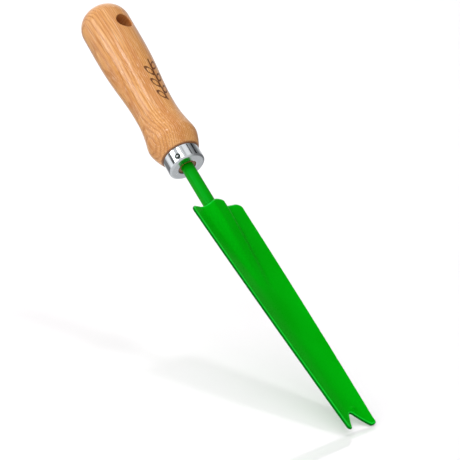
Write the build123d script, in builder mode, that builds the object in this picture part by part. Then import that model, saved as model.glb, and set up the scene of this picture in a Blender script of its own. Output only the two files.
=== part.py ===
"""Hand weeder: a two-pronged lawn and garden hand tool.

A turned wooden grip with a hanging hole carries a chromed ferrule.  A round
steel shank is driven into the grip, and a pressed sheet-steel blade is welded
over the shank's other end.  The blade narrows to two blunt prongs with a V
notch between them, which grips a weed's root.

Frame: millimetres.  The origin is the centre of the hanging hole.  +Z runs
along the grip towards its butt, so the tool hangs blade down.  -Y is the
tool's front: the hollow face of the blade looks that way.
"""
from build123d import *
from math import acos, asin, cos, degrees, radians, sin, tan
import os

os.makedirs("parts", exist_ok=True)

# ---------------------------------------------------------------- dimensions
# Grip, heights measured from the hanging hole
BUTT_Z = 25.2                 # crown of the domed butt
GRIP_RADIUS = 17.45           # at the hanging hole
BUTT_ROUND = 14.6             # shoulder of the dome
CROWN_RADIUS = 20.0           # its flatter crown
SHOULDER_Z = -105.0           # wooden shoulder that the ferrule butts against
HANG_HOLE_RADIUS = 5.8
HANG_HOLE_EASING = 0.6        # rounded rim of the hanging hole

# Ferrule, a deep-drawn cup over the grip's tenon
FERRULE_RADIUS = 12.5
FERRULE_WALL = 0.9
FERRULE_CORNER = 1.4
FERRULE_LIP_ROUND = 0.3
FERRULE_LENGTH = 10.4
FERRULE_FACE_Z = SHOULDER_Z - FERRULE_LENGTH
FERRULE_HOLE_RADIUS = 6.3

# Pin that holds the ferrule on the tenon
PIN_RADIUS = 0.9
PIN_HEAD_RADIUS = 1.55
PIN_HEAD_HEIGHT = 0.45
PIN_DEPTH = 7.0
PIN_POINT = 0.8
PIN_Z = SHOULDER_Z - 6.5
PIN_TURN = -59.0              # degrees round the grip from the front, towards -X

# Shank, a round bar that leans one degree towards the front of the tool
SHANK_RADIUS = 4.3
SHANK_LEAN = 1.0
SHANK_TAPER_START = 36.0      # below the ferrule's face
SHANK_END = 84.0
SHANK_END_RADIUS = 2.6
TANG_LENGTH = 62.0            # above the ferrule's face, inside the grip
TANG_STRAIGHT = 8.0
TANG_END_RADIUS = 2.4
TANG_CLEARANCE = 0.05

# Blade, pressed from sheet; lengths run down from the ferrule's face
SHEET = 1.6
BLADE_TOP = 35.0
HOOD_TOP = 32.6               # the hood over the shank starts a little higher
PRONG_END = 211.4
NOTCH_APEX = 200.3
HALF_WIDTH_TOP = 21.05
CORNER_RADIUS = 4.4
EDGE_RISE = 3.6               # the edges stand this far above the middle
MIDDLE_HEIGHT = 2.5           # front face of the middle, at CRANK_START
CRANK_START = 40.0
CRANK_SLOPE = 0.067           # the blade leans 3.8 degrees forward
RIB_RADIUS = 7.0              # outside of the hood over the shank
RIB_END = 92.0                # where the hood has sunk into the blade
RIB_END_RADIUS = 4.2
HOOD_FILLET = 5.0             # the hood runs out into the blade in a soft curve
GROOVE_END = 86.0             # the groove behind the hood
HOOD_FLAT = 3.0               # the hood's top edge: straight over the shank
HOOD_FOOT = 9.0
BLANK_TOP = 28.0              # sheet before its outline is cut
BLANK_END = 222.0
BLANK_DEPTH = 60.0
GROOVE_RADIUS = RIB_RADIUS - SHEET
GROOVE_END_RADIUS = RIB_END_RADIUS - SHEET + 0.3
PRONG_OUTER = 12.2
PRONG_INNER = 8.2
PRONG_ROUND = 1.5
PRONG_LENGTH = 2.0            # blunt end of a prong, before the notch widens
NOTCH_ANGLE = 33.0            # half of the V
NOTCH_ROUND = 1.8

# Welds between the shank and the blade
SEAM_START = 42.0
SEAM_START_AT = (4.9, 1.0)    # from the middle, and in front of the grip's axis
SEAM_RADIUS = 1.9
SEAM_END = 80.0
SEAM_END_AT = (3.0, 2.6)
SEAM_END_RADIUS = 1.5
HOOD_WELD_TOP = 30.8
HOOD_WELD_END = 37.5
HOOD_WELD_RADIUS = 6.2


def half_width(s):
    """Half of the blade's width, s mm below the ferrule's face."""
    x = (s - 40.0) / 160.0
    return 20.86 - 5.60 * x - 2.37 * x * x


def middle_height(s):
    """How far the middle of the blade's front face stands in front of the grip's axis."""
    return MIDDLE_HEIGHT + CRANK_SLOPE * (s - CRANK_START)


def trough_radius(s):
    """Radius of the hollow face that lifts the edges by EDGE_RISE."""
    return half_width(s) ** 2 / (2 * EDGE_RISE)


# Plane along the shank: its Z is the shank's axis, its origin the ferrule's face
lean = radians(SHANK_LEAN)
SHANK_PLANE = Plane(origin=(0, 0, FERRULE_FACE_Z), x_dir=(1, 0, 0), z_dir=(0, sin(lean), cos(lean)))
SHANK_SECTION = Plane(origin=(0, 0, FERRULE_FACE_Z), x_dir=(1, 0, 0), z_dir=(0, -cos(lean), sin(lean)))
SHANK_AXIS = Axis(SHANK_PLANE.origin, SHANK_PLANE.z_dir)

# Axis of the blade's conical trough, out in front of the blade
TROUGH_TOP = Vector(0, -middle_height(CRANK_START) - trough_radius(CRANK_START), FERRULE_FACE_Z - CRANK_START)
TROUGH_LOW = Vector(0, -middle_height(PRONG_END) - trough_radius(PRONG_END), FERRULE_FACE_Z - PRONG_END)
TROUGH_AXIS = Axis(TROUGH_TOP, TROUGH_LOW - TROUGH_TOP)

# Line of the ferrule's pin, pointing outwards, and a plane through it
turn = radians(PIN_TURN)
PIN_OUTWARD = Vector(sin(turn), -cos(turn), 0)
PIN_SEAT = PIN_OUTWARD * FERRULE_RADIUS + Vector(0, 0, PIN_Z)
PIN_SECTION = Plane(origin=PIN_SEAT, x_dir=PIN_OUTWARD, z_dir=(PIN_OUTWARD.Y, -PIN_OUTWARD.X, 0))
PIN_AXIS = Axis(PIN_SEAT, PIN_OUTWARD)


def tang_outline(gap):
    """Half outline of the bar above the ferrule's face, grown by gap."""
    top = TANG_LENGTH + gap
    return [
        (0, 0),
        (SHANK_RADIUS + gap, 0),
        (SHANK_RADIUS + gap, TANG_STRAIGHT),
        (TANG_END_RADIUS + gap, top),
        (0, top),
    ]


# The butt's shoulder and crown are arcs that touch on one line between their centres
BUTT_ANGLE = degrees(acos((GRIP_RADIUS - BUTT_ROUND) / (CROWN_RADIUS - BUTT_ROUND)))
BUTT_SHOULDER_Z = BUTT_Z - CROWN_RADIUS + (CROWN_RADIUS - BUTT_ROUND) * sin(radians(BUTT_ANGLE))


# ------------------------------------------------------------------- handle
TENON_RADIUS = FERRULE_RADIUS - FERRULE_WALL
TENON_END_Z = FERRULE_FACE_Z + FERRULE_WALL

with BuildPart() as handle:
    with BuildSketch(Plane.XZ):
        with BuildLine():
            Polyline((0, BUTT_Z), (0, TENON_END_Z), (TENON_RADIUS, TENON_END_Z), (TENON_RADIUS, SHOULDER_Z))
            Line((TENON_RADIUS, SHOULDER_Z), (13.1, SHOULDER_Z))
            # swell in front of the fingers, waist, and the fuller back of the grip
            Spline(
                (13.1, SHOULDER_Z),
                (13.75, SHOULDER_Z + 1),
                (15.1, SHOULDER_Z + 4),
                (16.5, SHOULDER_Z + 8),
                (17.15, SHOULDER_Z + 12),
                (16.6, SHOULDER_Z + 16),
                (14.85, SHOULDER_Z + 26),
                (14.15, SHOULDER_Z + 39),
                (15.12, SHOULDER_Z + 57),
                (16.45, SHOULDER_Z + 71),
                (17.3, SHOULDER_Z + 86),
                (17.45, SHOULDER_Z + 102),
                (GRIP_RADIUS, BUTT_SHOULDER_Z),
            )
            # domed butt: a tight shoulder that runs into a flatter crown
            CenterArc((GRIP_RADIUS - BUTT_ROUND, BUTT_SHOULDER_Z), BUTT_ROUND, 0, BUTT_ANGLE)
            CenterArc((0, BUTT_Z - CROWN_RADIUS), CROWN_RADIUS, BUTT_ANGLE, 90 - BUTT_ANGLE)
        make_face()
    revolve(axis=Axis.Z)
    chamfer(handle.edges().sort_by(Axis.Z)[0], 0.6)
    # hanging hole, front to back, with a rounded rim
    with BuildSketch(Plane.XZ.offset(-2 * GRIP_RADIUS)):
        Circle(HANG_HOLE_RADIUS)
    extrude(amount=4 * GRIP_RADIUS, mode=Mode.SUBTRACT)
    hole_rims = [
        edge
        for edge in handle.edges()
        if edge.bounding_box().size.X < 2.2 * HANG_HOLE_RADIUS
        and abs(edge.center(CenterOf.BOUNDING_BOX).Y) > 0.8 * GRIP_RADIUS
        and edge.bounding_box().max.Z < 2 * HANG_HOLE_RADIUS
    ]
    fillet(hole_rims, HANG_HOLE_EASING)
    # bore for the tang
    with BuildSketch(SHANK_SECTION):
        with BuildLine():
            Polyline(*tang_outline(TANG_CLEARANCE), close=True)
        make_face()
    revolve(axis=SHANK_AXIS, mode=Mode.SUBTRACT)
    # hole for the ferrule's pin
    with BuildSketch(PIN_SECTION):
        with Locations((-PIN_DEPTH / 2, PIN_RADIUS / 2)):
            Rectangle(PIN_DEPTH, PIN_RADIUS)
    revolve(axis=PIN_AXIS, mode=Mode.SUBTRACT)


# ------------------------------------------------------------------ ferrule
with BuildPart() as ferrule:
    with BuildSketch(Plane.XZ):
        with BuildLine():
            Polyline(
                (FERRULE_HOLE_RADIUS, FERRULE_FACE_Z),
                (FERRULE_RADIUS, FERRULE_FACE_Z),
                (FERRULE_RADIUS, SHOULDER_Z),
                (TENON_RADIUS, SHOULDER_Z),
                (TENON_RADIUS, TENON_END_Z),
                (FERRULE_HOLE_RADIUS, TENON_END_Z),
                close=True,
            )
        make_face()
    revolve(axis=Axis.Z)
    face_edges = ferrule.edges().filter_by(GeomType.CIRCLE).group_by(Axis.Z)[0].sort_by(SortBy.RADIUS)
    mouth_edges = ferrule.edges().filter_by(GeomType.CIRCLE).group_by(Axis.Z)[-1].sort_by(SortBy.RADIUS)
    fillet(face_edges[-1], FERRULE_CORNER)
    fillet(mouth_edges[-1], FERRULE_LIP_ROUND)
    with BuildSketch(PIN_SECTION):
        with Locations((-PIN_DEPTH / 2, PIN_RADIUS / 2)):
            Rectangle(PIN_DEPTH, PIN_RADIUS)
    revolve(axis=PIN_AXIS, mode=Mode.SUBTRACT)


# -------------------------------------------------------------- ferrule pin
with BuildPart() as ferrule_pin:
    with BuildSketch(PIN_SECTION):
        with BuildLine():
            Polyline(
                (PIN_HEAD_HEIGHT, 0),
                (-PIN_DEPTH, 0),
                (-PIN_DEPTH + PIN_POINT, PIN_RADIUS),
                (0, PIN_RADIUS),
                (0, PIN_HEAD_RADIUS),
            )
            dome = (PIN_HEAD_RADIUS**2 + PIN_HEAD_HEIGHT**2) / (2 * PIN_HEAD_HEIGHT)
            CenterArc((PIN_HEAD_HEIGHT - dome, 0), dome, 0, degrees(asin(PIN_HEAD_RADIUS / dome)))
        make_face()
    revolve(axis=PIN_AXIS)


# -------------------------------------------------------------------- shank
with BuildPart() as shank:
    with BuildSketch(SHANK_SECTION):
        with BuildLine():
            Polyline(
                (0, TANG_LENGTH),
                (0, -SHANK_END),
                (SHANK_END_RADIUS, -SHANK_END),
                (SHANK_RADIUS, -SHANK_TAPER_START),
                (SHANK_RADIUS, TANG_STRAIGHT),
                (TANG_END_RADIUS, TANG_LENGTH),
                close=True,
            )
        make_face()
    revolve(axis=SHANK_AXIS)
    ends = shank.edges().filter_by(GeomType.CIRCLE).sort_by(Axis.Z)
    fillet(ends[0], 1.0)
    chamfer(ends[-1], 0.8)


# -------------------------------------------------------------------- blade
def blade_outline():
    """Right half of the blade's outline, closed along the middle line."""
    top_z = FERRULE_FACE_Z - BLADE_TOP
    corner_x = HALF_WIDTH_TOP - CORNER_RADIUS
    prong_z = FERRULE_FACE_Z - PRONG_END
    prong_top = (PRONG_OUTER, prong_z + 4)
    Polyline(
        (0, FERRULE_FACE_Z - HOOD_TOP),
        (HOOD_FLAT, FERRULE_FACE_Z - HOOD_TOP),
        (HOOD_FOOT, top_z),
        (corner_x, top_z),
    )
    CenterArc((corner_x, top_z - CORNER_RADIUS), CORNER_RADIUS, 90, -90)
    ThreePointArc((HALF_WIDTH_TOP, top_z - CORNER_RADIUS), (half_width(125), FERRULE_FACE_Z - 125), prong_top)
    notch_z = FERRULE_FACE_Z - NOTCH_APEX - NOTCH_ROUND
    notch_side = (NOTCH_ROUND * cos(radians(NOTCH_ANGLE)), notch_z + NOTCH_ROUND * sin(radians(NOTCH_ANGLE)))
    drop = notch_side[1] - prong_z - PRONG_LENGTH
    Polyline(
        prong_top,
        (PRONG_OUTER, prong_z),
        (PRONG_INNER, prong_z),
        (notch_side[0] + drop * tan(radians(NOTCH_ANGLE)), prong_z + PRONG_LENGTH),
        notch_side,
    )
    CenterArc((0, notch_z), NOTCH_ROUND, NOTCH_ANGLE, 90 - NOTCH_ANGLE)
    Line((0, notch_z + NOTCH_ROUND), (0, FERRULE_FACE_Z - HOOD_TOP))


def bar_cone(start, end, start_radius, end_radius):
    """Profile of a cone on the shank's axis, for SHANK_SECTION."""
    return [(0, -start), (start_radius, -start), (end_radius, -end), (0, -end)]


with BuildSketch(Plane.XZ.offset(-BLANK_DEPTH / 2)) as blade_face:
    with BuildLine():
        blade_outline()
    make_face()
    fillet([v for v in blade_face.vertices() if abs(v.Y - FERRULE_FACE_Z + PRONG_END) < 0.1], PRONG_ROUND)
    mirror(about=Plane.YZ)

with BuildPart() as hood:
    # outside of the rib over the shank
    with BuildSketch(SHANK_SECTION):
        with BuildLine():
            Polyline(*bar_cone(BLANK_TOP, RIB_END, RIB_RADIUS, RIB_END_RADIUS), close=True)
        make_face()
    revolve(axis=SHANK_AXIS)
    # nothing of it stands behind the middle of the plate
    with BuildSketch(Plane.YZ):
        with BuildLine():
            Polyline(
                (-middle_height(BLANK_TOP) + SHEET / 2, FERRULE_FACE_Z - BLANK_TOP),
                (-middle_height(BLANK_END) + SHEET / 2, FERRULE_FACE_Z - BLANK_END),
                (BLANK_DEPTH, FERRULE_FACE_Z - BLANK_END),
                (BLANK_DEPTH, FERRULE_FACE_Z - BLANK_TOP),
                close=True,
            )
        make_face()
    extrude(amount=BLANK_DEPTH, both=True, mode=Mode.SUBTRACT)
    extrude(blade_face.sketch, amount=BLANK_DEPTH, mode=Mode.INTERSECT)

with BuildPart() as blade:
    # the plate, a shallow conical trough
    with BuildSketch(Plane.YZ):
        with BuildLine():
            Polyline(
                (-middle_height(BLANK_TOP), FERRULE_FACE_Z - BLANK_TOP),
                (-middle_height(BLANK_END), FERRULE_FACE_Z - BLANK_END),
                (-middle_height(BLANK_END) + SHEET, FERRULE_FACE_Z - BLANK_END),
                (-middle_height(BLANK_TOP) + SHEET, FERRULE_FACE_Z - BLANK_TOP),
                close=True,
            )
        make_face()
    revolve(axis=TROUGH_AXIS)
    extrude(blade_face.sketch, amount=BLANK_DEPTH, mode=Mode.INTERSECT)
    add(hood.part)
    # the groove behind the hood, where the shank lies
    with BuildSketch(SHANK_SECTION):
        with BuildLine():
            Polyline(*bar_cone(BLANK_TOP - 5, GROOVE_END, GROOVE_RADIUS, GROOVE_END_RADIUS), close=True)
        make_face()
    revolve(axis=SHANK_AXIS, mode=Mode.SUBTRACT)
    # soft line where the hood runs out into the plate
    hood_foot = [
        edge
        for edge in blade.edges()
        if edge.length > GROOVE_END
        and edge.bounding_box().max.Y < -middle_height(HOOD_TOP)
        and edge.bounding_box().min.X < -HOOD_FLAT
        and edge.bounding_box().max.X > HOOD_FLAT
    ]
    fillet(hood_foot, HOOD_FILLET)


# -------------------------------------------------------------------- welds
def seam_point(side, s, x, h):
    return Vector(side * x, -h, FERRULE_FACE_Z - s)


def weld_seam(side):
    """Bead along one side of the shank, on the back of the blade."""
    start = seam_point(side, SEAM_START, *SEAM_START_AT)
    end = seam_point(side, SEAM_END, *SEAM_END_AT)
    with BuildPart() as seam:
        with BuildSketch(Plane(origin=start, z_dir=end - start)):
            Circle(SEAM_RADIUS)
        with BuildSketch(Plane(origin=end, z_dir=end - start)):
            Circle(SEAM_END_RADIUS)
        loft()
        fillet(seam.edges().filter_by(GeomType.CIRCLE), 0.9)
        add(shank.part, mode=Mode.SUBTRACT)
        add(blade.part, mode=Mode.SUBTRACT)
    with BuildPart() as bead:
        add(seam.solids().sort_by(SortBy.VOLUME)[-1])
    return bead


weld_left = weld_seam(-1)
weld_right = weld_seam(1)

with BuildPart() as weld_hood:
    # fills the gap between the shank and the hood, front half only
    with BuildSketch(SHANK_SECTION):
        with BuildLine():
            ThreePointArc((SHANK_RADIUS, -HOOD_WELD_TOP), (4.9, -32.2), (HOOD_WELD_RADIUS, -HOOD_TOP - 0.4))
            Polyline(
                (HOOD_WELD_RADIUS, -HOOD_TOP - 0.4),
                (5.4, -HOOD_WELD_END + 1.5),
                (SHANK_RADIUS, -HOOD_WELD_END),
                (SHANK_RADIUS, -HOOD_WELD_TOP),
            )
        make_face()
    revolve(axis=SHANK_AXIS, revolution_arc=-180)
    add(blade.part, mode=Mode.SUBTRACT)


# ------------------------------------------------------------------- output
handle.part.label = "handle"
ferrule.part.label = "ferrule"
ferrule_pin.part.label = "ferrule_pin"
shank.part.label = "shank"
blade.part.label = "blade"
weld_left.part.label = "weld_left"
weld_right.part.label = "weld_right"
weld_hood.part.label = "weld_hood"

export_step(handle.part, "parts/handle.step")
export_step(ferrule.part, "parts/ferrule.step")
export_step(ferrule_pin.part, "parts/ferrule_pin.step")
export_step(shank.part, "parts/shank.step")
export_step(blade.part, "parts/blade.step")
export_step(weld_left.part, "parts/weld_left.step")
export_step(weld_right.part, "parts/weld_right.step")
export_step(weld_hood.part, "parts/weld_hood.step")
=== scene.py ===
"""A hand weeder: an ash grip with a chromed ferrule, and a green painted blade on a round shank.

The CAD nodes of the grip, the pin and the shank get finishes. Finer meshes stand in for the nodes of the
ferrule, the blade and the welds. The floor, the light and the camera follow. The scene is in metres; the
finishes and the mesh functions work in millimetres.
"""

import math

import bmesh
import bpy
from mathutils import Matrix, Vector


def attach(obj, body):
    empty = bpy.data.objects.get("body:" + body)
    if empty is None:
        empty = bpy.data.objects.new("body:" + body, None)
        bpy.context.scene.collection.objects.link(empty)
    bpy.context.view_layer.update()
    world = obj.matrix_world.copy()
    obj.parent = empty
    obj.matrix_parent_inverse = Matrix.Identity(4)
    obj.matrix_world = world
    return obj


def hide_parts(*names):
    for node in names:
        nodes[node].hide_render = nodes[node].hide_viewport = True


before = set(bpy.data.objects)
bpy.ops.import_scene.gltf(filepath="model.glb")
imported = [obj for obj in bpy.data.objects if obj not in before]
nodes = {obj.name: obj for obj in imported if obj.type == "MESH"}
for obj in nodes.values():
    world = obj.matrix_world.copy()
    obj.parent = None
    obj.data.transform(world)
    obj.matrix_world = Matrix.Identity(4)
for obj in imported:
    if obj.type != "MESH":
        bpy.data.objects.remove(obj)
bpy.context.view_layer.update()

CAMERA_PLACE = Vector((-0.66678, -0.56784, -0.60051))
CAMERA_RIGHT = Vector((0.72752, -0.51589, -0.45229)).normalized()
CAMERA_UP = Vector((0.03422, -0.63113, 0.77492)).normalized()
CAMERA_BACK = CAMERA_RIGHT.cross(CAMERA_UP).normalized()
CAMERA_LENS = 121.54
FLOOR_RISE = math.radians(17)  # how far the camera looks down on the floor


# ---------------------------------------------------------------- sizes
# In millimetres, s down from the ferrule's face and h forwards. These repeat the CAD part's sizes, except
# for the two that say so: the CAD has square edges there.

SHOULDER_MM = -105.0         # Z of the ferrule end of the bare wood
HOLE_RADIUS_MM = 5.8         # hanging hole
FACE_Z_MM = -115.4           # Z of the ferrule's end face
FERRULE_RADIUS_MM = 12.5
FERRULE_WALL_MM = 0.9
FERRULE_HOLE_MM = 6.3        # radius of the hole for the shank, where it is narrowest
FERRULE_CORNER_MM = 1.4      # rounded corner between wall and face
FERRULE_LIP_MM = 0.3         # eased edge at the open end
FERRULE_RIM_MM = 0.2         # how far the rim of the hole is rounded inwards; not in the CAD
PIN_TURN = math.radians(-59)       # round the ferrule, from the front
PIN_Z_MM = -111.5
PIN_SPOT_MM = (                    # where the pin enters the ferrule's wall
    FERRULE_RADIUS_MM * math.sin(PIN_TURN),
    -FERRULE_RADIUS_MM * math.cos(PIN_TURN),
    PIN_Z_MM,
)
SHEET_MM = 1.6
PRONG_END_MM = 211.4         # s of the ends of the prongs
CORNER_ROLL_MM = 1.2         # how far the blade's front corner is rolled over; not in the CAD


# ---------------------------------------------------------------- node helpers

class Graph:
    """Adds nodes to one node tree."""

    def __init__(self, tree):
        self.tree = tree

    def add(self, kind, inputs=None, **settings):
        node = self.tree.nodes.new(kind)
        for name, value in settings.items():
            setattr(node, name, value)
        for key, value in (inputs or {}).items():
            self.feed(node.inputs[key], value)
        return node

    def feed(self, socket, value):
        if isinstance(value, bpy.types.NodeSocket):
            self.tree.links.new(value, socket)
        else:
            socket.default_value = value

    def math(self, operation, *values):
        node = self.add("ShaderNodeMath", operation=operation)
        for socket, value in zip(node.inputs, values):
            self.feed(socket, value)
        return node.outputs[0]

    def vector(self, operation, *values, out=0):
        node = self.add("ShaderNodeVectorMath", operation=operation)
        for socket, value in zip(node.inputs, values):
            self.feed(socket, value)
        return node.outputs[out]

    def scaled(self, vector, scale):
        """The vector times a number, or times each part of a triple."""
        factors = scale if isinstance(scale, tuple) else (scale,) * 3
        return self.vector("MULTIPLY", vector, factors)

    def fade(self, value, start, end, low=0.0, high=1.0):
        """Smooth step: low before start, high after end."""
        node = self.add(
            "ShaderNodeMapRange",
            {"Value": value, "From Min": start, "From Max": end, "To Min": low, "To Max": high},
            interpolation_type="SMOOTHSTEP",
        )
        return node.outputs["Result"]

    def noise(self, place, scale=1.0, detail=2.0, roughness=0.5):
        node = self.add(
            "ShaderNodeTexNoise",
            {"Vector": place, "Scale": scale, "Detail": detail, "Roughness": roughness},
        )
        return node.outputs["Fac"]

    def mix(self, factor, first, second):
        node = self.add("ShaderNodeMix", data_type="RGBA")
        self.feed(node.inputs[0], factor)
        self.feed(node.inputs[6], first)
        self.feed(node.inputs[7], second)
        return node.outputs[2]

    def bump(self, height, distance, strength):
        inputs = {"Height": height, "Distance": distance, "Strength": strength}
        return self.add("ShaderNodeBump", inputs).outputs[0]


def shade(red, green, blue):
    """A colour given as 0 to 255 display values, as Blender's linear RGBA."""
    def linear(value):
        value /= 255
        return value / 12.92 if value <= 0.04045 else ((value + 0.055) / 1.055) ** 2.4
    return (linear(red), linear(green), linear(blue), 1.0)


def new_material(name):
    """An empty principled material, its graph, its shader and the place on the object in millimetres."""
    material = bpy.data.materials.new(name)
    material.use_nodes = True
    tree = material.node_tree
    tree.nodes.clear()
    graph = Graph(tree)
    shader = graph.add("ShaderNodeBsdfPrincipled")
    output = graph.add("ShaderNodeOutputMaterial")
    tree.links.new(shader.outputs[0], output.inputs["Surface"])
    place = graph.add("ShaderNodeTexCoord").outputs["Object"]
    place_mm = graph.scaled(place, 1000.0)
    return material, graph, shader, place_mm


# ---------------------------------------------------------------- finishes

PITH_MM = (62.0, -12.0)      # where the log's heart ran, beside the grip
PITH_LEAN = 0.022            # how far it strays along X for each millimetre up
RING_WIDTH_MM = 1.3

SPRIG_TURN = math.radians(-86)     # round the grip, from +X, to the sprig's stem
SPRIG_MIDDLE_MM = -52.0
SPRIG_SPREAD_MM = 15.2       # width drawn on each radian of the grip, whose radius there is 14.8
SPRIG_REACH_MM = 17.0        # half the stem's length
STEM_HALF_MM = 0.4
LEAF_COUNT = 6
LEAF_FIRST_MM = -12.5        # the middle of the first leaf, along the stem
LEAF_STEP_MM = 5.0
LEAF_OUT_MM = 2.9            # from the stem to a leaf's middle
LEAF_LEAN = math.radians(32)
LEAF_HALF_LENGTH_MM = 3.7
LEAF_HALF_WIDTH_MM = 1.9


def leaf_sprig(graph, around_mm, along_mm):
    """1 on the lines of a burned sprig: a stem with outlined leaves on both sides."""
    stem = graph.math("ABSOLUTE", around_mm)
    lines = graph.fade(stem, STEM_HALF_MM, 2 * STEM_HALF_MM, 1.0, 0.0)
    beyond = graph.math("ABSOLUTE", along_mm)
    reach = graph.fade(beyond, SPRIG_REACH_MM, SPRIG_REACH_MM + 0.6, 1.0, 0.0)
    lines = graph.math("MULTIPLY", lines, reach)
    for number in range(LEAF_COUNT):
        middle = LEAF_FIRST_MM + LEAF_STEP_MM * number
        side = 1.0 if number % 2 else -1.0
        lean = side * LEAF_LEAN
        out = graph.math("SUBTRACT", around_mm, side * LEAF_OUT_MM)
        up = graph.math("SUBTRACT", along_mm, middle)
        length = graph.math(
            "ADD",
            graph.math("MULTIPLY", out, math.sin(lean)),
            graph.math("MULTIPLY", up, math.cos(lean)),
        )
        width = graph.math(
            "SUBTRACT",
            graph.math("MULTIPLY", out, math.cos(lean)),
            graph.math("MULTIPLY", up, math.sin(lean)),
        )
        length = graph.math("ABSOLUTE", graph.math("DIVIDE", length, LEAF_HALF_LENGTH_MM))
        width = graph.math("ABSOLUTE", graph.math("DIVIDE", width, LEAF_HALF_WIDTH_MM))
        # the powers give a leaf with pointed ends and a full middle; the sum is 1 on its outline
        inside = graph.math("ADD", graph.math("POWER", length, 1.5), graph.math("POWER", width, 2.0))
        outline = graph.math("ABSOLUTE", graph.math("SUBTRACT", inside, 1.0))
        leaf = graph.fade(outline, 0.26, 0.55, 1.0, 0.0)
        lines = graph.math("MAXIMUM", lines, leaf)
    return lines


def make_wood():
    """Lacquered ash: growth rings cut lengthwise, fibre streaks, pores, a burned sprig."""
    material, graph, shader, place = new_material("ash_wood")
    x, y, z = graph.add("ShaderNodeSeparateXYZ", {0: place}).outputs

    sway = graph.noise(graph.scaled(place, (0.03, 0.03, 0.009)), detail=2.0)
    sway = graph.math("MULTIPLY", graph.math("SUBTRACT", sway, 0.5), 6.0)
    stray = graph.add("ShaderNodeCombineXYZ", {"X": graph.math("MULTIPLY", z, PITH_LEAN)}).outputs[0]
    from_pith = graph.vector("SUBTRACT", place, (PITH_MM[0], PITH_MM[1], 0.0))
    from_pith = graph.vector("ADD", from_pith, stray)
    ring_radius = graph.vector("LENGTH", graph.scaled(from_pith, (1.0, 1.0, 0.0)), out=1)
    ring_radius = graph.math("ADD", ring_radius, sway)
    fine_sway = graph.noise(graph.scaled(place, (0.35, 0.35, 0.03)), detail=3.0)
    ring_radius = graph.math("ADD", ring_radius, graph.math("MULTIPLY", fine_sway, 0.9))
    year = graph.math("DIVIDE", ring_radius, RING_WIDTH_MM)
    season = graph.math("FRACT", year)
    late = graph.math(
        "MULTIPLY",
        graph.fade(season, 0.35, 0.88),
        graph.fade(season, 0.93, 1.0, 1.0, 0.0),
    )
    early = graph.fade(season, 0.0, 0.4, 1.0, 0.0)

    fibre = graph.noise(graph.scaled(place, (2.2, 2.2, 0.05)), detail=4.0, roughness=0.6)
    streak = graph.noise(graph.scaled(place, (0.16, 0.16, 0.006)), detail=3.0, roughness=0.55)
    pore = graph.noise(graph.scaled(place, (3.4, 3.4, 0.17)), detail=1.0)
    pore = graph.math("MULTIPLY", graph.fade(pore, 0.6, 0.72), graph.fade(early, 0.0, 0.7, 0.25, 1.0))

    colour = graph.mix(graph.fade(streak, 0.32, 0.68), shade(224, 163, 96), shade(205, 136, 68))
    colour = graph.mix(graph.math("MULTIPLY", late, 0.62), colour, shade(178, 106, 46))
    colour = graph.mix(graph.fade(fibre, 0.52, 0.74, 0.0, 0.7), colour, shade(250, 220, 182))
    colour = graph.mix(graph.fade(fibre, 0.48, 0.24, 0.0, 0.62), colour, shade(176, 104, 46))
    colour = graph.mix(graph.math("MULTIPLY", pore, 0.45), colour, shade(150, 92, 48))

    from_hole = graph.vector("LENGTH", graph.scaled(place, (1.0, 0.0, 1.0)), out=1)
    in_hole = graph.fade(from_hole, HOLE_RADIUS_MM - 0.1, HOLE_RADIUS_MM + 0.35, 1.0, 0.0)
    colour = graph.mix(graph.math("MULTIPLY", in_hole, 0.6), colour, shade(168, 92, 40))
    at_joint = graph.fade(z, SHOULDER_MM + 0.2, SHOULDER_MM + 1.0, 1.0, 0.0)
    colour = graph.mix(graph.math("MULTIPLY", at_joint, 0.75), colour, shade(110, 62, 32))

    turn = graph.math("ARCTAN2", y, x)
    around = graph.math("MULTIPLY", graph.math("SUBTRACT", turn, SPRIG_TURN), SPRIG_SPREAD_MM)
    along = graph.math("SUBTRACT", z, SPRIG_MIDDLE_MM)
    burn = leaf_sprig(graph, around, along)
    char = graph.fade(graph.noise(place, scale=0.9, detail=2.0), 0.2, 0.8, 0.72, 1.0)
    colour = graph.mix(graph.math("MULTIPLY", burn, char), colour, shade(76, 28, 10))

    graph.feed(shader.inputs["Base Color"], colour)
    rough = graph.fade(fibre, 0.25, 0.75, 0.36, 0.5)
    rough = graph.math("ADD", rough, graph.math("MULTIPLY", burn, 0.2))
    graph.feed(shader.inputs["Roughness"], rough)
    shader.inputs["Specular IOR Level"].default_value = 0.1
    shader.inputs["Coat Weight"].default_value = 0.9
    shader.inputs["Coat Roughness"].default_value = 0.16
    height = graph.math("MULTIPLY", fibre, 0.35)
    height = graph.math("SUBTRACT", height, graph.math("MULTIPLY", pore, 0.5))
    height = graph.math("SUBTRACT", height, graph.math("MULTIPLY", burn, 1.6))
    graph.feed(shader.inputs["Normal"], graph.bump(height, 0.0001, 0.7))
    return material


GREEN_LOW = shade(0, 154, 4)
GREEN_HIGH = shade(0, 164, 8)


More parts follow.
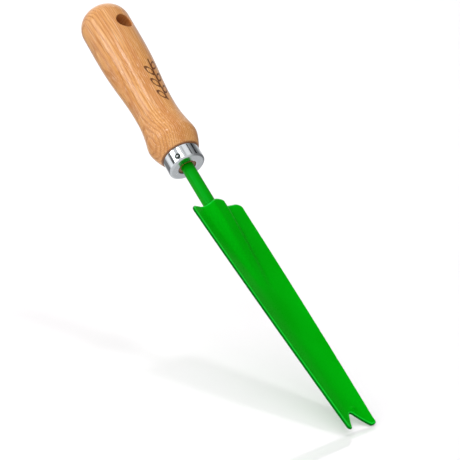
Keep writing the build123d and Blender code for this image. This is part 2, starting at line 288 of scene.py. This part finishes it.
def make_paint(name="green_paint", low=GREEN_LOW, high=GREEN_HIGH, gloss=0.04, rough=0.26):
    """Semi-gloss green powder coat with a faint orange peel, its reflections tinted green."""
    material, graph, shader, place = new_material(name)
    cloud = graph.noise(graph.scaled(place, (0.05, 0.05, 0.02)), detail=3.0)
    speck = graph.noise(place, scale=1.3, detail=2.0)
    colour = graph.mix(graph.fade(cloud, 0.3, 0.7), low, high)
    colour = graph.mix(graph.fade(speck, 0.62, 0.8, 0.0, 0.25), colour, shade(0, 140, 8))
    graph.feed(shader.inputs["Base Color"], colour)
    graph.feed(shader.inputs["Roughness"], graph.fade(speck, 0.3, 0.7, rough, rough + 0.1))
    shader.inputs["Specular IOR Level"].default_value = gloss
    shader.inputs["Specular Tint"].default_value = (0.03, 1.0, 0.2, 1.0)
    peel = graph.noise(place, scale=0.55, detail=2.0)
    graph.feed(shader.inputs["Normal"], graph.bump(peel, 0.00006, 0.6))
    return material


def make_chrome():
    """Bright plating: turning rings on the face, polishing lines round the wall, a dark ring painted
    round the pin.
    """
    material, graph, shader, place = new_material("ferrule_chrome")
    z = graph.add("ShaderNodeSeparateXYZ", {0: place}).outputs[2]
    from_axis = graph.vector("LENGTH", graph.scaled(place, (1.0, 1.0, 0.0)), out=1)
    on_face = graph.fade(z, FACE_Z_MM + 0.5, FACE_Z_MM + 1.0, 1.0, 0.0)
    smudge = graph.noise(graph.scaled(place, 0.25), detail=3.0)
    across = graph.add("ShaderNodeCombineXYZ", {"X": from_axis}).outputs[0]
    rings = graph.noise(across, scale=2.2, detail=3.0)
    along = graph.add("ShaderNodeCombineXYZ", {"Z": z}).outputs[0]
    lines = graph.noise(along, scale=3.0, detail=3.0)
    colour = graph.mix(smudge, shade(210, 216, 222), shade(230, 233, 236))
    # a dark ring painted round the pin, which widens the painted dark rim of the pin's head
    off_pin = graph.vector("LENGTH", graph.vector("SUBTRACT", place, PIN_SPOT_MM), out=1)
    dark_pin_ring = graph.fade(off_pin, 1.9, 2.3, 1.0, 0.0)
    colour = graph.mix(dark_pin_ring, colour, shade(78, 86, 82))
    graph.feed(shader.inputs["Base Color"], colour)
    shader.inputs["Metallic"].default_value = 1.0
    rough = graph.fade(smudge, 0.3, 0.75, 0.06, 0.16)
    rough = graph.math("ADD", rough, graph.math("MULTIPLY", on_face, 0.12))
    graph.feed(shader.inputs["Roughness"], rough)
    rings = graph.math("MULTIPLY", rings, on_face)
    height = graph.math("ADD", rings, graph.math("MULTIPLY", lines, 0.04))
    graph.feed(shader.inputs["Normal"], graph.bump(height, 0.00008, 0.8))
    return material


def make_steel():
    """Brushed steel for the pin, the rim of its head painted dark as a reflection of its dome."""
    material, graph, shader, place = new_material("pin_steel")
    brushed = graph.noise(graph.scaled(place, (6.0, 6.0, 0.6)), detail=3.0)
    level = (math.cos(PIN_TURN), math.sin(PIN_TURN), 0.0)   # square to the pin, along the ferrule's wall
    sideways = graph.vector("DOT_PRODUCT", place, level, out=1)
    z = graph.add("ShaderNodeSeparateXYZ", {0: place}).outputs[2]
    above = graph.math("SUBTRACT", z, PIN_Z_MM)
    off = graph.add("ShaderNodeCombineXYZ", {"X": sideways, "Y": above}).outputs[0]
    # painted reflection: the rim of the head is made dark, as a domed head shows it
    rim = graph.fade(graph.vector("LENGTH", off, out=1), 0.4, 0.75)
    colour = graph.mix(brushed, shade(196, 198, 202), shade(228, 230, 233))
    graph.feed(shader.inputs["Base Color"], graph.mix(rim, colour, shade(64, 72, 69)))
    shader.inputs["Metallic"].default_value = 1.0
    graph.feed(shader.inputs["Roughness"], graph.fade(brushed, 0.3, 0.7, 0.2, 0.36))
    graph.feed(shader.inputs["Normal"], graph.bump(brushed, 0.00003, 0.5))
    return material


def finish_node(name, material):
    """Gives a CAD node its one finish."""
    data = nodes[name].data
    data.materials.clear()
    data.materials.append(material)


wood = make_wood()
paint = make_paint()
# the blade's rolled corner: its paint made lighter and glossier, a painted highlight
lit_edge_paint = make_paint("green_paint_lit_edge", shade(8, 182, 30), shade(16, 190, 40), 0.6)
# the blade's edge walls: its paint made darker, painted shade
shaded_wall_paint = make_paint("green_paint_shaded_wall", shade(0, 96, 12), shade(0, 112, 14), 0.05)
shank_paint = make_paint("green_paint_shank", shade(0, 146, 2), shade(0, 156, 4), 0.28, 0.07)
chrome = make_chrome()
steel = make_steel()
finish_node("handle", wood)
finish_node("ferrule_pin", steel)
finish_node("shank", shank_paint)


# ---------------------------------------------------------------- meshes

def add_piece(name, mesh, node, material):
    """Puts a mesh in the scene in place of a CAD node."""
    for polygon in mesh.polygons:
        polygon.use_smooth = True
    mesh.materials.append(material)
    piece = bpy.data.objects.new(name, mesh)
    bpy.context.scene.collection.objects.link(piece)
    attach(piece, "root")
    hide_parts(node)
    return piece


def turned(name, profile, segments):
    """A closed profile of (radius, height) in millimetres, turned round Z."""
    points, faces = [], []
    count = len(profile)
    for step in range(segments):
        angle = 2 * math.pi * step / segments
        for radius, height in profile:
            x, y = radius * math.cos(angle), radius * math.sin(angle)
            points.append((x / 1000, y / 1000, height / 1000))
    for step in range(segments):
        here, there = step * count, (step + 1) % segments * count
        for spot in range(count):
            beside = (spot + 1) % count
            faces.append((here + spot, there + spot, there + beside, here + beside))
    mesh = bpy.data.meshes.new(name)
    mesh.from_pydata(points, [], faces)
    mesh.validate()
    return mesh


def arc(centre, radius, start, end, steps):
    """Points of an arc, angles in degrees from +x towards +y."""
    angles = [math.radians(start + (end - start) * step / steps) for step in range(steps + 1)]
    return [(centre[0] + radius * math.cos(a), centre[1] + radius * math.sin(a)) for a in angles]


def steps_between(start, end, count):
    """Evenly spaced points from start up to, but without, end."""
    return [tuple(a + (b - a) * i / count for a, b in zip(start, end)) for i in range(count)]


def make_ferrule():
    """Drawn cup: wall, rounded corner, flat face with a hole, and the inside of both.

    The CAD cup has a hole for the pin. This one has none, and the pin runs through its wall.
    """
    top, low, floor = SHOULDER_MM, FACE_Z_MM, FACE_Z_MM + FERRULE_WALL_MM
    outer, hole = FERRULE_RADIUS_MM, FERRULE_HOLE_MM + FERRULE_RIM_MM
    inner = outer - FERRULE_WALL_MM
    corner, lip = FERRULE_CORNER_MM, FERRULE_LIP_MM
    inside_corner = 0.6
    profile = steps_between((hole, low), (outer - corner, low), 12)
    profile += arc((outer - corner, low + corner), corner, -90, 0, 10)
    profile += steps_between((outer, low + corner + 0.3), (outer, top - 0.4), 14)
    profile += arc((outer - lip, top - lip), lip, 0, 90, 4)
    profile += [(inner + 0.02, top), (inner, top - 0.05)]
    profile += [(inner, floor + inside_corner), (inner - inside_corner, floor), (hole, floor)]
    profile += arc((hole, (low + floor) / 2), FERRULE_RIM_MM, 90, 270, 6)[1:-1]
    return turned("ferrule_cup", profile, 160)


def smooth(value, start, end):
    """0 before start, 1 after end, and an even S between them."""
    t = min(max((value - start) / (end - start), 0.0), 1.0)
    return t * t * (3 - 2 * t)


def half_width(s):
    """Half width of the blade between its shoulders (s = 40) and its prongs (s = 200)."""
    part = (s - 40.0) / 160.0
    return 20.86 - 5.60 * part - 2.37 * part * part


def soft_spot(x, s, centre, reach):
    """1 at a spot on the sheet, falling off over its reach across and along."""
    return math.exp(-(((x - centre[0]) / reach[0]) ** 2 + ((s - centre[1]) / reach[1]) ** 2))


def blade_height(x, s):
    """Front face of the blade, forwards of the grip's axis: trough, rib over the shank, small marks."""
    middle = 2.5 + 0.067 * (s - 40.0)                  # the trough's bottom leans forwards
    radius = half_width(s) ** 2 / 7.2                  # of the trough's round section
    trough = middle + 0.985 * (radius - math.sqrt(radius * radius - x * x))
    rib_end = 112.0
    rib_height = 6.1 * (1 - smooth(s, 30.0, rib_end))
    rib_half = 11.6 - 5.6 * smooth(s, 34.0, rib_end)
    rib = rib_height * (1 - smooth(abs(x) / rib_half, 0.32, 0.98))
    raised_mark = 1.1 * soft_spot(x, s, (3.6, 197.8), (1.4, 1.5))       # above the notch
    runout = 0.45 * soft_spot(x, s, (5.2, 99.0), (3.2, 13.0))           # dent beside the rib's end
    press_mark = 0.12 * math.sin(s * 2.1) * soft_spot(x, s, (7.0, 40.0), (2.2, 4.5))
    return trough + rib + raised_mark + press_mark - runout


SHOULDER_HALF_MM = 20.95     # half width of the outline at the blade's shoulders
PRONG_HALF_MM = 12.2         # and at its prongs
# x and s along the top of the hood, which is curved here and made of straight lines in the CAD
HOOD_TOP_MM = ((0, 32.6), (1.4, 32.75), (2.8, 33.2), (4.4, 33.9), (6.2, 34.6), (8, 35.0), (12, 35.0))
SHOULDER_ROUND_MM = 4.4
NOTCH_ANGLE = 33             # degrees, from the middle line to the notch's side
NOTCH_ROUND_MM = 1.8
NOTCH_APEX_MM = 200.3


def blade_side(s):
    """Half width of the outline: a curve through the shoulder, the middle and the prong."""
    a, b, c = 39.4, 125.0, PRONG_END_MM - 4.0
    return (
        SHOULDER_HALF_MM * (s - b) * (s - c) / ((a - b) * (a - c))
        + half_width(b) * (s - a) * (s - c) / ((b - a) * (b - c))
        + PRONG_HALF_MM * (s - a) * (s - b) / ((c - a) * (c - b))
    )


def blade_outline():
    """Right half of the outline, from the top of the hood to the notch, as (x, s)."""
    notch = math.radians(NOTCH_ANGLE)
    notch_s = NOTCH_APEX_MM + NOTCH_ROUND_MM
    side = (NOTCH_ROUND_MM * math.cos(notch), notch_s - NOTCH_ROUND_MM * math.sin(notch))
    heel_s = PRONG_END_MM - 2.0
    heel = (side[0] + (heel_s - side[1]) * math.tan(notch), heel_s)
    outer_round, inner_round = 1.9, 1.4                # the prong's two corners
    points = list(HOOD_TOP_MM)
    points += arc((16.65, 39.4), SHOULDER_ROUND_MM, -90, 0, 8)
    points += [(blade_side(s), s) for s in range(42, 207, 3)]
    points += [(PRONG_HALF_MM, PRONG_END_MM - 4.0), (PRONG_HALF_MM, PRONG_END_MM - outer_round)]
    points += arc((PRONG_HALF_MM - outer_round, PRONG_END_MM - outer_round), outer_round, 15, 90, 5)
    points += arc((9.0, PRONG_END_MM - inner_round), inner_round, 90, 150, 3)
    points += steps_between(heel, side, 5)
    points += arc((0, notch_s), NOTCH_ROUND_MM, -NOTCH_ANGLE, -90, 4)
    return points


def outward(before, here, after):
    """Direction out of an outline that runs clockwise in (x, s), at one of its corners."""
    way = (Vector(here) - Vector(before)).normalized() + (Vector(after) - Vector(here)).normalized()
    return Vector((way.y, -way.x)).normalized()


def boundary_loop(work):
    """The vertices round the open edge of a flat mesh, in order."""
    start = next(edge for edge in work.edges if edge.is_boundary)
    loop = [start.verts[0], start.verts[1]]
    while True:
        last, previous = loop[-1], loop[-2]
        edge = next(e for e in last.link_edges if e.is_boundary and e.other_vert(last) is not previous)
        following = edge.other_vert(last)
        if following is loop[0]:
            return loop
        loop.append(following)


LIT_EDGE_FINISH = 1              # places of the two rim paints among the blade's materials: the painted highlight on the rolled corner, the painted shade on the wall
SHADED_WALL_FINISH = 2


def add_edge_and_back(work):
    """Closes the front face into sheet: rolled front corner, wall, eased back corner, back face."""
    front_faces = work.faces[:]
    loop = boundary_loop(work)
    flat = [Vector((vertex.co.x, FACE_Z_MM - vertex.co.z)) for vertex in loop]
    if sum(a.x * b.y - b.x * a.y for a, b in zip(flat, flat[1:] + flat[:1])) < 0:
        loop.reverse()
        flat.reverse()
    work.normal_update()
    steepest = 0.6                                     # keeps steep places from becoming too thick
    depth = {vertex: SHEET_MM / max(abs(vertex.normal.y), steepest) for vertex in work.verts}
    behind = {}
    for vertex in work.verts[:]:
        behind[vertex] = work.verts.new(vertex.co + Vector((0, depth[vertex], 0)))
    # each step of the rim: how far out in mm, how far back as a part of the sheet, finish
    rim = []
    roll_depth = 0.4
    for number in range(1, 5):
        turn = number * math.pi / 8
        # the corner's first two steps get the painted highlight, the others the painted shade
        finish = LIT_EDGE_FINISH if number < 3 else SHADED_WALL_FINISH
        rim.append((CORNER_ROLL_MM * math.sin(turn), roll_depth * (1 - math.cos(turn)), finish))
    rim += [(CORNER_ROLL_MM, 0.85, SHADED_WALL_FINISH), (0.75 * CORNER_ROLL_MM, 1.0, SHADED_WALL_FINISH)]
    rings = [loop]
    for out, back, finish in rim:
        ring = []
        for number, vertex in enumerate(loop):
            way = outward(flat[number - 1], flat[number], flat[(number + 1) % len(flat)])
            place = vertex.co + Vector((way.x * out, depth[vertex] * back, -way.y * out))
            ring.append(work.verts.new(place))
        rings.append(ring)
    rings.append([behind[vertex] for vertex in loop])
    finishes = [finish for out, back, finish in rim] + [SHADED_WALL_FINISH]
    for first, second, finish in zip(rings, rings[1:], finishes):
        for number in range(len(loop)):
            beside = (number + 1) % len(loop)
            face = work.faces.new((first[number], first[beside], second[beside], second[number]))
            face.material_index = finish
    for face in front_faces:
        work.faces.new([behind[vertex] for vertex in reversed(face.verts)])
    bmesh.ops.recalc_face_normals(work, faces=work.faces[:])


def cut_across(work, place, normal):
    """Cuts the whole mesh along a plane, and keeps both sides."""
    everything = work.verts[:] + work.edges[:] + work.faces[:]
    bmesh.ops.bisect_plane(work, geom=everything, plane_co=place, plane_no=normal)


ROW_MM = 3.0                 # height of the rows of quads on the blade
FINE_ROW_MM = 0.8            # and near the notch
COLUMN_MM = 1.25


def make_blade():
    """Pressed sheet: the outline cut into small quads, raised to its shape, with edges and a back."""
    right = blade_outline()
    left = [(-x, s) for x, s in reversed(right[1:-1])]
    outline = right + left
    work = bmesh.new()
    ring = []
    for number, (x, s) in enumerate(outline):
        way = outward(outline[number - 1], (x, s), outline[(number + 1) % len(outline)])
        inset_x, inset_s = way.x * CORNER_ROLL_MM, way.y * CORNER_ROLL_MM
        ring.append(work.verts.new((x - inset_x, 0, FACE_Z_MM - s + inset_s)))
    work.faces.new(ring)
    for number in range(1, 60):
        cut_across(work, (0, 0, FACE_Z_MM - 33.6 - ROW_MM * number), (0, 0, 1))
    for number in range(12):
        cut_across(work, (0, 0, FACE_Z_MM - 193.4 - FINE_ROW_MM * number), (0, 0, 1))
    for number in range(-16, 17):
        cut_across(work, (COLUMN_MM * number, 0, 0), (1, 0, 0))
    bmesh.ops.remove_doubles(work, verts=work.verts[:], dist=0.15)
    for vertex in work.verts:
        vertex.co.y = -blade_height(vertex.co.x, FACE_Z_MM - vertex.co.z)
    bmesh.ops.recalc_face_normals(work, faces=work.faces[:])
    if sum(face.normal.y for face in work.faces) > 0:
        bmesh.ops.reverse_faces(work, faces=work.faces[:])
    add_edge_and_back(work)
    bmesh.ops.scale(work, vec=(0.001, 0.001, 0.001), verts=work.verts[:])
    mesh = bpy.data.meshes.new("blade_sheet")
    work.to_mesh(mesh)
    work.free()
    piece = add_piece("blade_sheet", mesh, "blade", paint)
    mesh.materials.append(lit_edge_paint)
    mesh.materials.append(shaded_wall_paint)
    return piece


def make_bead(name, path, radius, node, ripple=0.13, pitch=1.3):
    """A weld bead along a path in millimetres, with a scale at each step of the torch.

    radius holds the bead's radius at the start and at the end of the path.
    """
    points, faces = [], []
    around = 20
    steps = 90
    aside = Vector((0.3, 0.5, 0.8))                    # any direction that no path runs along
    total = sum((b - a).length for a, b in zip(path, path[1:]))
    for step in range(steps + 1):
        t = step / steps
        spot = t * (len(path) - 1)
        first = min(int(spot), len(path) - 2)
        place = path[first].lerp(path[first + 1], spot - first)
        along = (path[first + 1] - path[first]).normalized()
        side = along.cross(aside).normalized()
        up = side.cross(along)
        end = min(t, 1 - t) * total / (1.2 * radius[0])
        cap = math.sqrt(max(1 - (1 - min(end, 1.0)) ** 2, 0.0))
        wave = 1 - ripple * abs(math.sin(math.pi * t * total / pitch))
        size = (radius[0] + (radius[1] - radius[0]) * t) * max(cap, 0.03) * wave
        for turn in range(around):
            angle = 2 * math.pi * turn / around
            out = side * math.cos(angle) + up * math.sin(angle)
            points.append(tuple((place + out * size) / 1000))
    for step in range(steps):
        for turn in range(around):
            beside = (turn + 1) % around
            here, there = step * around, (step + 1) * around
            faces.append((here + turn, here + beside, there + beside, there + turn))
    faces.append(tuple(reversed(range(around))))
    faces.append(tuple(steps * around + turn for turn in range(around)))
    mesh = bpy.data.meshes.new(name)
    mesh.from_pydata(points, [], faces)
    mesh.validate()
    work = bmesh.new()
    work.from_mesh(mesh)
    bmesh.ops.recalc_face_normals(work, faces=work.faces[:])
    work.to_mesh(mesh)
    work.free()
    return add_piece(name, mesh, node, paint)


# x, s and h along a seam behind the blade; these beads are fuller than the CAD's and sink into the blade
SEAM_MM = ((5.3, 41.0, 1.9), (4.4, 60.0, 2.6), (3.0, 80.0, 3.2))
HOOD_SEAM_S_MM = 34.2


def make_welds():
    """The two seams beside the shank behind the blade, and the one round the hood's mouth."""
    for side, node in ((-1, "weld_left"), (1, "weld_right")):
        path = [Vector((side * x, -h, FACE_Z_MM - s)) for x, s, h in SEAM_MM]
        make_bead(node + "_bead", path, (2.1, 1.5), node)
    ring = []
    for number in range(13):
        angle = math.radians(-96 + 16 * number)
        x, h = 5.0 * math.sin(angle), 0.6 + 5.3 * math.cos(angle)
        ring.append(Vector((x, -h, FACE_Z_MM - HOOD_SEAM_S_MM)))
    make_bead("weld_hood_bead", ring, (1.25, 1.25), "weld_hood", ripple=0.1, pitch=1.5)


add_piece("ferrule_cup", make_ferrule(), "ferrule", chrome)
make_blade()
make_welds()


# ---------------------------------------------------------------- stage

def lowest_along(direction):
    """How far the whole object reaches against a direction."""
    return min(vertex.co.dot(direction) for node in nodes.values() for vertex in node.data.vertices)


FLOOR_GLOW = 0.152           # lifts the sheet towards the white behind it
FLOOR_REACH = 12.0
FLOOR_GAP = 0.0002           # keeps the prongs just clear of the sheet
# a little short of green, against the green light that the blade throws on the sheet
FLOOR_DARK = (0.73, 0.715, 0.73, 1)
FLOOR_PALE = (0.76, 0.745, 0.76, 1)


def make_floor():
    """A large pale sheet under the prongs, seen only from the side that the object is on."""
    up = (CAMERA_UP * math.cos(FLOOR_RISE) + CAMERA_BACK * math.sin(FLOOR_RISE)).normalized()
    across = CAMERA_RIGHT
    along = up.cross(across)
    centre = up * (lowest_along(up) - FLOOR_GAP)
    across, along = across * FLOOR_REACH, along * FLOOR_REACH
    corners = [centre + across * i + along * j for i, j in ((-1, -1), (1, -1), (1, 1), (-1, 1))]
    mesh = bpy.data.meshes.new("floor")
    mesh.from_pydata([tuple(corner) for corner in corners], [], [(0, 1, 2, 3)])
    mesh.update()
    if mesh.polygons[0].normal.dot(up) < 0:
        mesh.flip_normals()
    floor = bpy.data.objects.new("floor", mesh)
    bpy.context.scene.collection.objects.link(floor)

    material, graph, shader, place = new_material("floor_sheet")
    mottle = graph.noise(graph.scaled(place, 0.02), detail=2.0)
    graph.feed(shader.inputs["Base Color"], graph.mix(mottle, FLOOR_DARK, FLOOR_PALE))
    shader.inputs["Roughness"].default_value = 0.04
    shader.inputs["IOR"].default_value = 1.85
    shader.inputs["Emission Color"].default_value = (1, 1, 1, 1)
    shader.inputs["Emission Strength"].default_value = FLOOR_GLOW
    clear = graph.add("ShaderNodeBsdfTransparent")
    behind = graph.add("ShaderNodeNewGeometry").outputs["Backfacing"]
    either = graph.add("ShaderNodeMixShader", {0: behind, 1: shader.outputs[0], 2: clear.outputs[0]})
    output = next(node for node in material.node_tree.nodes if node.type == "OUTPUT_MATERIAL")
    graph.feed(output.inputs["Surface"], either.outputs[0])
    mesh.materials.append(material)
    floor.visible_glossy = False
    return up


ROOM_LIGHT = 0.74
# each patch: direction, degrees within which it is full and beyond which it is gone, gain
ROOM_PATCHES = (
    ((-0.84, 0.32, 0.44), 24, 34, 0.3),      # window, left of the camera
    ((-0.854, 0.277, 0.44), 7, 11, -0.93),   # its dark frame
    ((-0.89, -0.05, 0.44), 8, 14, 3.0),      # its brightest pane
    ((-0.635, -0.635, 0.44), 3, 8, 6.0),     # strip lamp in front of the tool
    ((-0.156, -0.884, 0.44), 15, 24, 0.25),  # white screen beside the lamp
    ((-0.08, 0.89, 0.44), 16, 24, -0.5),     # darker far wall
    ((-0.336, -0.833, 0.44), 3, 7, -0.5),    # a narrow shutter
    ((0.25, -0.86, 0.44), 3, 6, -0.7),       # a thin stand
    ((0.69, -0.58, 0.44), 3, 8, -0.5),       # and another
    ((0.86, -0.32, -0.05), 35, 75, -0.55),   # the dim side of the room
    ((0.587, 0.128, 0.80), 20, 34, 0.45),    # the lit wall that the floor mirrors
)


def make_world():
    """White behind the object; for reflections, a soft room with a large window on the left."""
    world = bpy.data.worlds.new("studio")
    bpy.context.scene.world = world
    world.use_nodes = True
    tree = world.node_tree
    tree.nodes.clear()
    graph = Graph(tree)
    look = graph.add("ShaderNodeTexCoord").outputs["Generated"]

    def patch(direction, inner, outer):
        """1 within inner degrees of a direction, 0 beyond outer degrees."""
        nearness = graph.vector("DOT_PRODUCT", look, tuple(Vector(direction).normalized()), out=1)
        return graph.fade(nearness, math.cos(math.radians(outer)), math.cos(math.radians(inner)))

    light = ROOM_LIGHT
    for direction, inner, outer, gain in ROOM_PATCHES:
        light = graph.math("ADD", light, graph.math("MULTIPLY", patch(direction, inner, outer), gain))
    light = graph.math("MAXIMUM", light, 0.02)
    seen = graph.add("ShaderNodeLightPath").outputs["Is Camera Ray"]
    unseen = graph.math("SUBTRACT", 1.0, seen)
    strength = graph.math("ADD", graph.math("MULTIPLY", light, unseen), seen)
    background = graph.add("ShaderNodeBackground", {"Color": (1, 1, 1, 1), "Strength": strength})
    output = graph.add("ShaderNodeOutputWorld")
    graph.feed(output.inputs["Surface"], background.outputs[0])


def make_sun(name, towards, strength, spread):
    """A distant soft light that stands in the direction towards, and isn't seen in reflections."""
    data = bpy.data.lights.new(name, "SUN")
    data.energy = strength
    data.angle = math.radians(spread)
    lamp = bpy.data.objects.new(name, data)
    lamp.rotation_mode = "QUATERNION"
    lamp.rotation_quaternion = Vector(towards).to_track_quat("Z", "Y")
    lamp.visible_glossy = False
    bpy.context.scene.collection.objects.link(lamp)


def make_camera():
    """The camera as it was worked out from the photo."""
    data = bpy.data.cameras.new("camera")
    data.lens = CAMERA_LENS
    data.sensor_width = 36.0
    data.clip_start = 0.05
    data.clip_end = 50.0
    camera = bpy.data.objects.new("camera", data)
    turn = Matrix((CAMERA_RIGHT, CAMERA_UP, CAMERA_BACK)).transposed()
    camera.matrix_world = Matrix.Translation(CAMERA_PLACE) @ turn.to_4x4()
    bpy.context.scene.collection.objects.link(camera)
    bpy.context.scene.camera = camera


make_floor()
make_world()
make_sun("key", (0.14, -0.849, 0.51), 0.6, 9)
make_sun("fill", (-0.68, -0.68, 0.3), 0.85, 70)
make_camera()
bpy.context.scene.view_settings.view_transform = "Standard"
